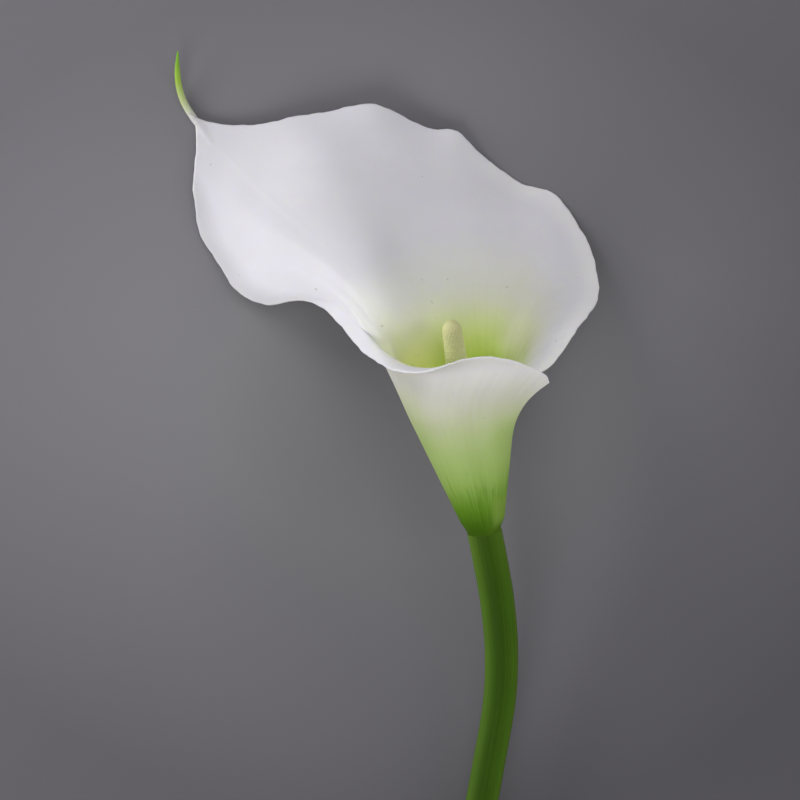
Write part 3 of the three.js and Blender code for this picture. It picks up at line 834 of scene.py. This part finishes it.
# Clouds are a scale and a detail, and a bump is a height in metres and a strength.
NOISE_MIDDLE = 0.5
SPATHE_CLOUDS = (45, 2)
SPATHE_GRAIN = (900, 2)
SPATHE_BUMP = (0.00005, 0.5)
SPECKS = (700, 0)
SPECK_EDGE = (0.86, 0.90)
SPECK_SHARE = 0.3

# Fields are a strength, and the attributes that it depends on: none of it at the first value
# of each, and the whole at the second.
GREEN_ON_LEFT = (5, ("turn", 240, 205))
GREEN_ON_RIGHT = (5, ("turn", 285, 312), ("rise", 42, 32))
WHITE_ON_LIP = 0.8
UPPER_TUBE = (1, ("rise", 22, 36))
LEFT_SHADE = (0.2, ("turn", 285, 200))
STROKED = (0.4, ("rise", 25, 18), ("rise", 5, 10))
LAP = (0.6, ("turn", 288, 306), ("rise", 15, 10), ("rise", 1, 6))
# where the painted shade darkens the left of the foot
FOOT_SHADE = (1, ("turn", 295, 255), ("rise", 20, 8))
# Where the right wall takes the ramp with the painted shade.
SHADED_RIGHT_WALL = (1, ("turn", 90, 10))
BEHIND_SPADIX = (1, ("turn", 118, 85), ("turn", 18, 45), ("rise", 70, 56))
GLOWING = (1, ("rise", 70, 62))
LEFT_WALL = (0.85, ("turn", 125, 190))
RIGHT_WING = (1, ("margin", 30, 3), ("turn", 60, 25))
MARGIN = (1, ("margin", 9, 1))
# where the painted highlight lies along the right margin
RIGHT_MARGIN_LIT = (1, ("margin", 9, 1.5), ("turn", 75, 45))
LOWER_MARGIN_SHADE = (0.18, ("margin", 9, 1), ("turn", 130, 145), ("turn", 185, 172))
CREST_SHADE = (0.08, ("turn", 80, 98), ("turn", 150, 130), ("rise", 76, 90))
RAGGED = 4
RAGGED_FOOT = (6, ("rise", 30, 12))
TAIL = (1, ("tip", 1 - TAIL_BEFORE, 1))
VEINED = (1, ("rise", 110, 50))
VEINED_OUTSIDE = 0.25
VEINED_INSIDE = 0.3
GROOVED = (0.8, ("rise", 90, 50))
GLOSSY = (0.25, ("rise", 6, 30))


def outside_colour(g, reached):
    """Green at the foot and white at the lip, and green further up at both sides, with painted
    shade over the left flank and the lit left of the foot.
    """
    shift = g.minus(WHITE_ON_LIP, g.plus(g.field(*GREEN_ON_LEFT), g.field(*GREEN_ON_RIGHT)))
    shifted = g.plus(reached, g.times(shift, g.field(*UPPER_TUBE)))
    colour = g.mix(g.field(*LEFT_SHADE), g.ramp(shifted, *OUTSIDE_RAMP), BLACK)
    strokes = g.streaks(g.attribute("turn"), g.attribute("rise"), *STROKES)
    stroked = g.times(g.share(strokes, *STROKE_EDGE), g.field(*STROKED))
    colour = g.mix(stroked, colour, STROKE_GREEN)
    colour = g.mix(g.field(*LAP), colour, LAP_GREEN)
    return g.mix(g.field(*FOOT_SHADE), colour, FOOT_SHADE_TINT, "MULTIPLY")


def inside_colour(g, reached):
    """Green in the throat, vivid behind the spadix, and white over the limb and its margins,
    with painted light and shade: a painted glow on the throat's left wall, painted shade on its
    right wall, the lower left margin and the crest, and a painted highlight along the right
    margin.
    """
    # The left ramp carries painted light and the right ramp painted shade.
    left = g.ramp(reached, *INSIDE_LEFT_LIT_RAMP)
    right = g.ramp(reached, *INSIDE_RIGHT_SHADED_RAMP)
    colour = g.mix(g.field(*SHADED_RIGHT_WALL), left, right)
    colour = g.mix(g.field(*BEHIND_SPADIX), colour, VIVID_TINT, "MULTIPLY")
    left_wall = g.mix(g.field(*GLOWING), WHITE, GLOW)
    colour = g.mix(g.field(*LEFT_WALL), colour, left_wall)
    whitened = g.math("MAXIMUM", g.field(*RIGHT_WING), g.field(*MARGIN))
    colour = g.mix(whitened, colour, WHITE)
    colour = g.mix(g.field(*RIGHT_MARGIN_LIT), colour, RIGHT_MARGIN_HIGHLIGHT)
    dimmed = g.math("MAXIMUM", g.field(*LOWER_MARGIN_SHADE), g.field(*CREST_SHADE))
    return g.mix(dimmed, colour, BLACK)


def spathe_material():
    """White, green inside the tube and round its foot, with a green tail."""
    g = Graph("spathe")
    rise, inner = g.attribute("rise"), g.attribute("inner")
    veins = g.streaks(g.attribute("turn"), rise, *VEINS)
    clouds = g.clouds(*SPATHE_CLOUDS)
    ragged = g.plus(g.field(*RAGGED_FOOT), RAGGED)
    reached = g.plus(rise, g.times(g.minus(veins, NOISE_MIDDLE), ragged))
    colour = g.mix(inner, outside_colour(g, reached), inside_colour(g, reached))
    tail = g.ramp(g.plus(g.attribute("tip"), TAIL_BEFORE), *TAIL_RAMP)
    colour = g.mix(g.field(*TAIL), colour, tail)

    colour = g.mix(1.0, colour, g.ramp(clouds, *TONE_RAMP), "MULTIPLY")
    veined = g.plus(g.times(inner, VEINED_INSIDE), VEINED_OUTSIDE)
    veined = g.times(g.field(*VEINED), veined)
    colour = g.mix(veined, colour, g.ramp(veins, *VEIN_RAMP), "MULTIPLY")
    specks = g.share(g.clouds(*SPECKS), *SPECK_EDGE)
    colour = g.mix(g.times(specks, SPECK_SHARE), colour, SPECK_BROWN)

    grooves = g.times(g.minus(veins, NOISE_MIDDLE), g.field(*GROOVED))
    g.bump(g.plus(g.clouds(*SPATHE_GRAIN), grooves), *SPATHE_BUMP)
    return g.finish(
        colour,
        Roughness=g.plus(0.42, g.times(clouds, 0.15)),
        Subsurface_Weight=0.5,
        Subsurface_Radius=(0.0014, 0.0016, 0.0008),
        Subsurface_Scale=1.0,
        Specular_IOR_Level=g.plus(0.05, g.field(*GLOSSY)),
    )


STEM_RAMP = (0, 30, [
    (0, (0.084, 0.165, 0.010)), (8, (0.074, 0.155, 0.008)), (20, (0.060, 0.134, 0.006)),
])
FIBRES = ((60, 0.02), 3, 0.6)  # scales over the way round and down, detail, roughness
FIBRE_RAGGED = 6
FIBRE_SHARE = 0.6
FIBRE_RAMP = (0, 1, [(0.3, (0.75, 0.8, 0.75)), (0.7, (1.15, 1.12, 1.1))])
STEM_SHADE_AND_HIGHLIGHT_RAMP = (0.5, 1.0, [  # painted shade along the top and painted bluish highlights down both sides, over the way round, from the left side over the top to the right
    (0.57, (1.25, 1.08, 2.8)), (0.63, (0.90, 0.85, 1.4)), (0.67, (0.61, 0.63, 0.70)),
    (0.71, (0.49, 0.54, 0.44)), (0.77, (0.575, 0.62, 0.57)), (0.82, (0.79, 0.81, 0.88)),
    (0.87, (1.01, 1.04, 1.4)), (0.93, (1.28, 1.15, 2.2)),
])
SKIN_RAMP = (0, 1, [(0.35, (0.85, 0.88, 0.85)), (0.65, (1.05, 1.04, 1.0))])
SKIN_SHARE = 0.5
STEM_CLOUDS = (60, 3)
STEM_BUMP = (0.00015, 0.6)
SKIN = (1, ("cut", 1.0, 1.6))
BUNDLE_SCALE = 900
BUNDLE_EDGE = (0.32, 0.18)
BUNDLE_GREEN = (0.30, 0.42, 0.12)
FLESH_GREEN = (0.55, 0.62, 0.30)


def cut_end_colour(g):
    """Pale flesh with the darker bundles of a cut stem."""
    cells = g.nodes.new("ShaderNodeTexVoronoi")
    g.feed(cells.inputs["Vector"], g.place())
    cells.inputs["Scale"].default_value = BUNDLE_SCALE
    bundles = g.share(cells.outputs["Distance"], *BUNDLE_EDGE)
    return g.mix(bundles, FLESH_GREEN, BUNDLE_GREEN)


def stem_material():
    """Green skin with fibre lines, painted shade along the top and painted bluish highlights
    down both sides, and a pale cut end.
    """
    g = Graph("stem")
    down, way_round = g.attribute("down"), g.attribute("round")
    fibres = g.streaks(way_round, down, *FIBRES)
    clouds = g.clouds(*STEM_CLOUDS)
    skin = g.ramp(g.plus(down, g.times(fibres, FIBRE_RAGGED)), *STEM_RAMP)
    skin = g.mix(FIBRE_SHARE, skin, g.ramp(fibres, *FIBRE_RAMP), "MULTIPLY")
    # Painted shade along the top of the stem and painted highlights down its sides.
    skin = g.mix(1.0, skin, g.ramp(way_round, *STEM_SHADE_AND_HIGHLIGHT_RAMP), "MULTIPLY")
    skin = g.mix(SKIN_SHARE, skin, g.ramp(clouds, *SKIN_RAMP), "MULTIPLY")
    g.bump(fibres, *STEM_BUMP)
    return g.finish(
        g.mix(g.field(*SKIN), cut_end_colour(g), skin),
        Roughness=g.plus(0.5, g.times(clouds, 0.15)),
        Subsurface_Weight=0.08,
        Subsurface_Radius=(0.001, 0.0014, 0.0005),
        Subsurface_Scale=1.0,
        Specular_IOR_Level=0.07,
    )


SPADIX_RAMP = (0, 70, [
    (0, (0.58, 0.68, 0.24)), (40, (0.66, 0.73, 0.32)), (58, (0.68, 0.70, 0.35)),
    (64, (0.70, 0.68, 0.37)),
])
FLORET_RAMP = (0, 1, [(0.1, (0.84, 0.86, 0.74)), (0.8, (1.04, 1.03, 1.0))])
FLORET_SHARE = 0.5
RIPE_RAMP = (0, 1, [(0.35, (0.9, 0.92, 0.85)), (0.65, (1.05, 1.03, 1.0))])
RIPE_SHARE = 0.7
SPADIX_CLOUDS = (260, 2)
SPADIX_GRAIN = (2200, 1)
SPADIX_BUMP = (0.00005, 0.5)


def spadix_material():
    """Yellow-green, yellower at the tip and darker between the florets."""
    g = Graph("spadix")
    clouds = g.clouds(*SPADIX_CLOUDS)
    colour = g.ramp(g.attribute("height"), *SPADIX_RAMP)
    relief = g.ramp(g.attribute("floret"), *FLORET_RAMP)
    colour = g.mix(FLORET_SHARE, colour, relief, "MULTIPLY")
    colour = g.mix(RIPE_SHARE, colour, g.ramp(clouds, *RIPE_RAMP), "MULTIPLY")
    g.bump(g.clouds(*SPADIX_GRAIN), *SPADIX_BUMP)
    return g.finish(
        colour,
        Roughness=g.plus(0.5, g.times(clouds, 0.2)),
        Subsurface_Weight=0.15,
        Subsurface_Radius=(0.001, 0.001, 0.0004),
        Subsurface_Scale=1.0,
    )


# Places on the floor are in metres, in the part's frame.
FLOOR_CLOUDS = (3, 2)
FLOOR_RAMP = (0, 1, [(0.3, (0.30, 0.293, 0.312)), (0.7, (0.315, 0.308, 0.327))])
SLANT_SHADE_RAMP = (-0.30, 0.30, [  # painted shade, darker to the right and towards the stem
    (-0.26, (1.0, 1.0, 1.0)), (-0.06, (0.71, 0.71, 0.71)), (0.15, (0.52, 0.52, 0.53)),
])
PICTURE_MIDDLE = (0.004, 0.066)
PICTURE_SQUASH = 0.8
FALLOFF_SHADE_RAMP = (0, 0.15, [  # painted shade, darker away from the picture's middle
    (0.046, (1.0, 1.0, 1.0)), (0.066, (0.91, 0.905, 0.92)), (0.092, (0.79, 0.78, 0.80)),
    (0.131, (0.62, 0.61, 0.63)),
])
POOL_MIDDLE = (-0.005, 0.025)  # where the brightest of the light is evened out
POOL_REACH = (0.075, 0.008)
POOL_DEPTH = 0.14


def floor_material():
    """Mid grey paper that darkens as the photo's ground does."""
    g = Graph("floor")
    parts = g.nodes.new("ShaderNodeSeparateXYZ")
    g.feed(parts.inputs[0], g.place())
    x, y = parts.outputs["X"], parts.outputs["Y"]
    colour = g.ramp(g.clouds(*FLOOR_CLOUDS), *FLOOR_RAMP)
    colour = g.mix(1.0, colour, g.ramp(g.minus(x, y), *SLANT_SHADE_RAMP), "MULTIPLY")
    away = g.distance(g.times(g.minus(x, PICTURE_MIDDLE[0]), PICTURE_SQUASH),
                      g.minus(y, PICTURE_MIDDLE[1]))
    colour = g.mix(1.0, colour, g.ramp(away, *FALLOFF_SHADE_RAMP), "MULTIPLY")
    away = g.distance(g.minus(x, POOL_MIDDLE[0]), g.minus(y, POOL_MIDDLE[1]))
    pool = g.times(g.share(away, *POOL_REACH), POOL_DEPTH)
    return g.finish(g.mix(pool, colour, BLACK), Roughness=0.9, Specular_IOR_Level=0.2)


# ---------- pieces ----------

def make_piece(name, points, faces, values, material, slot, node):
    """A smooth piece with its material, in place of one of the frame's nodes."""
    mesh = bpy.data.meshes.new(name)
    mesh.from_pydata([tuple(p) for p in (points + SHIFT) * MM], [], faces)
    mesh.validate()
    for key, value in values.items():
        layer = mesh.attributes.new(key, "FLOAT", "POINT")
        layer.data.foreach_set("value", np.asarray(value, np.float32))
    mesh.polygons.foreach_set("use_smooth", np.ones(len(mesh.polygons), bool))
    mesh.materials.append(material)
    piece = bpy.data.objects.new(name, mesh)
    bpy.context.scene.collection.objects.link(piece)
    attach(piece, "root")
    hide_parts(node)
    return piece


spathe = spathe_mesh()
spathe_low, spathe_high = (np.array(corner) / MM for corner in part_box("spathe"))
own_low, own_high = spathe[0].min(axis=0), spathe[0].max(axis=0)
SHIFT = np.array([
    (spathe_low[0] + spathe_high[0] - own_low[0] - own_high[0]) / 2,
    spathe_high[1] - own_high[1],
    spathe_low[2] - FLOOR,
])

make_piece("spathe_petal", *spathe, spathe_material(), "spathe", "spathe")
make_piece("spadix_florets", *spadix_mesh(), spadix_material(), "spadix", "spadix")
make_piece("stem_cut", *stem_mesh(), stem_material(), "stem", "stem")

# ---------- floor, lights and camera ----------

FLOOR_HALF = 3.0  # metres

corners = [(-FLOOR_HALF, -FLOOR_HALF, 0), (FLOOR_HALF, -FLOOR_HALF, 0),
           (FLOOR_HALF, FLOOR_HALF, 0), (-FLOOR_HALF, FLOOR_HALF, 0)]
floor = bpy.data.meshes.new("floor")
floor.from_pydata(corners, [], [(0, 1, 2, 3)])
floor.materials.append(floor_material())
floor_piece = bpy.data.objects.new("floor", floor)
bpy.context.scene.collection.objects.link(floor_piece)


BLOOM = (0.0, 0.09, 0.02)  # metres, where the lights aim
LIGHT_DISTANCE = 1.6
LIGHTS = [  # name, direction from +X and height in degrees, size in metres, watts
    ("left_back", 135, 18, 0.9, 11.8),
    ("left", 180, 16, 0.8, 9.6),
    ("left_front", 240, 38, 1.1, 10.8),
    ("right", 22, 15, 0.8, 5.8),
    ("right_high", 0, 45, 1.0, 3.4),
    ("right_front", 315, 18, 0.8, 3.2),
    ("top", 250, 68, 1.1, 1.2),
    ("top_back", 45, 72, 0.8, 3.6),
]


def area_light(name, azimuth, height, size, power):
    """A round soft light that faces the bloom."""
    light = bpy.data.lights.new(name, "AREA")
    light.shape = "DISK"
    light.size = size
    light.energy = power
    lamp = bpy.data.objects.new(name, light)
    turn, rise = math.radians(azimuth), math.radians(height)
    away = Vector((math.cos(turn) * math.cos(rise), math.sin(turn) * math.cos(rise),
                   math.sin(rise)))
    lamp.location = Vector(BLOOM) + LIGHT_DISTANCE * away
    lamp.rotation_euler = (-away).to_track_quat("-Z", "Y").to_euler()
    bpy.context.scene.collection.objects.link(lamp)


for light_row in LIGHTS:
    area_light(*light_row)

WORLD_COLOUR = (0.9, 0.92, 1.0, 1)
WORLD_STRENGTH = 0.05
world = bpy.data.worlds.new("studio")
world.use_nodes = True
backdrop = world.node_tree.nodes["Background"]
backdrop.inputs["Color"].default_value = WORLD_COLOUR
backdrop.inputs["Strength"].default_value = WORLD_STRENGTH
bpy.context.scene.world = world

CAMERA_PLACE = np.array([-25.35, 39.6, 1000.0])  # straight above the left of the throat
SENSOR_WIDTH = 36
LENS = 150
camera = bpy.data.cameras.new("camera")
camera.sensor_width = SENSOR_WIDTH
camera.lens = LENS
camera_piece = bpy.data.objects.new("camera", camera)
camera_piece.location = (CAMERA_PLACE + SHIFT) * MM
bpy.context.scene.collection.objects.link(camera_piece)
bpy.context.scene.camera = camera_piece
bpy.context.scene.view_settings.view_transform = "Standard"
